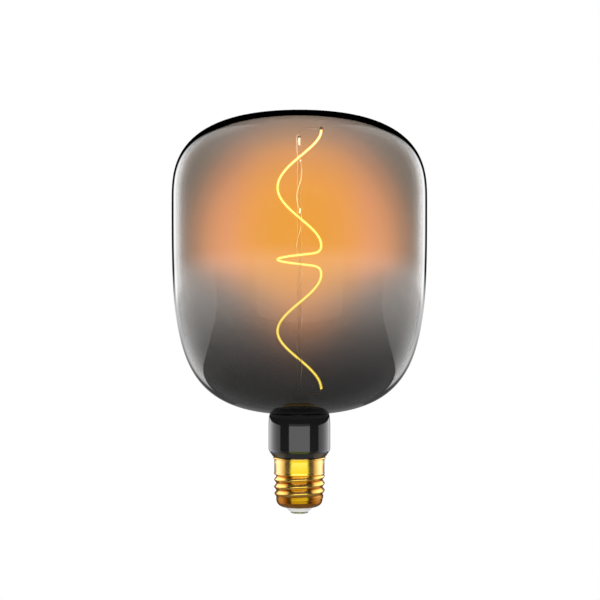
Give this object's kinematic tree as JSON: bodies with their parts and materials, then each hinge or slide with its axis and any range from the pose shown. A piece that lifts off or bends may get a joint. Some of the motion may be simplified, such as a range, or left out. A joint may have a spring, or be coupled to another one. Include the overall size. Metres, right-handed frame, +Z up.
{
  "type": "smart light bulb",
  "caption": "Large amber glass globe bulb with a spiral LED filament on a glass rod, a gloss black collar and a gold screw cap with a driver and radio inside.",
  "frame": {"origin": "centre of the contact button's flat bottom face", "axes": "+Z up the bulb's axis from the cap to the crown of the globe; +X points to the side where the filament's two ends lie; -Y faces the viewer"},
  "size_m": [0.131, 0.131, 0.2058],
  "materials": {
    "amber_glass": "blown glass with an amber metallised coating",
    "led_phosphor": "silicone with yellow phosphor over LED chips",
    "clear_glass": "clear lamp-working glass",
    "white_ceramic": "white bead",
    "nickel": "drawn nickel-plated wire",
    "copper": "enamelled copper wire",
    "black_gloss": "high gloss black",
    "cement": "baked cement",
    "gold_brass": "bright gold-plated rolled brass",
    "white_insulator": "pale vitreous insulator",
    "tinned_contact": "tinned",
    "circuit_board": "green solder mask",
    "module_board": "blue solder mask",
    "gold_trace": "gold-plated copper foil",
    "black_epoxy": "moulded epoxy",
    "ferrite": "sintered ferrite",
    "capacitor_sleeve": "shrunk sleeve over an aluminium can",
    "yellow_box": "yellow polyester",
    "resistor_coat": "flameproof coating",
    "chip_part": "fired chip",
    "white_sleeve": "woven glass sleeve",
    "red_wire": "silicone insulation",
    "black_wire": "silicone insulation"
  },
  "bodies": {
    "root": {"glass_envelope": "amber_glass", "filament": "led_phosphor", "filament_tab_top": "nickel", "filament_tab_bottom": "nickel", "support_rod": "clear_glass", "rod_bead": "white_ceramic", "bead_ring": "nickel", "top_hook_wire": "nickel", "return_wire": "copper", "inner_lead_left": "nickel", "inner_lead_right": "nickel", "lead_wire_left": "nickel", "lead_wire_right": "nickel", "lead_sleeve_left": "white_sleeve", "lead_sleeve_right": "white_sleeve", "stem_flare": "clear_glass", "exhaust_tube": "clear_glass", "collar": "black_gloss", "neck_cement": "cement", "screw_shell": "gold_brass", "shell_insulator": "white_insulator", "centre_contact": "tinned_contact", "driver_board": "circuit_board", "electrolytic_capacitor": "capacitor_sleeve", "choke_core": "ferrite", "choke_winding": "copper", "wireless_module_board": "module_board", "module_shield": "tinned_contact", "antenna_trace": "gold_trace", "transformer_core": "ferrite", "transformer_winding": "yellow_box", "film_capacitor": "yellow_box", "fusible_resistor": "resistor_coat", "bridge_rectifier": "black_epoxy", "driver_chip": "black_epoxy", "output_switch": "black_epoxy", "supply_regulator": "black_epoxy", "sense_resistor_1": "chip_part", "sense_resistor_2": "chip_part", "sense_resistor_3": "chip_part", "ceramic_capacitor_1": "chip_part", "ceramic_capacitor_2": "chip_part", "ceramic_capacitor_3": "chip_part", "live_wire": "red_wire", "neutral_wire": "black_wire"}
  },
  "joints": []
}
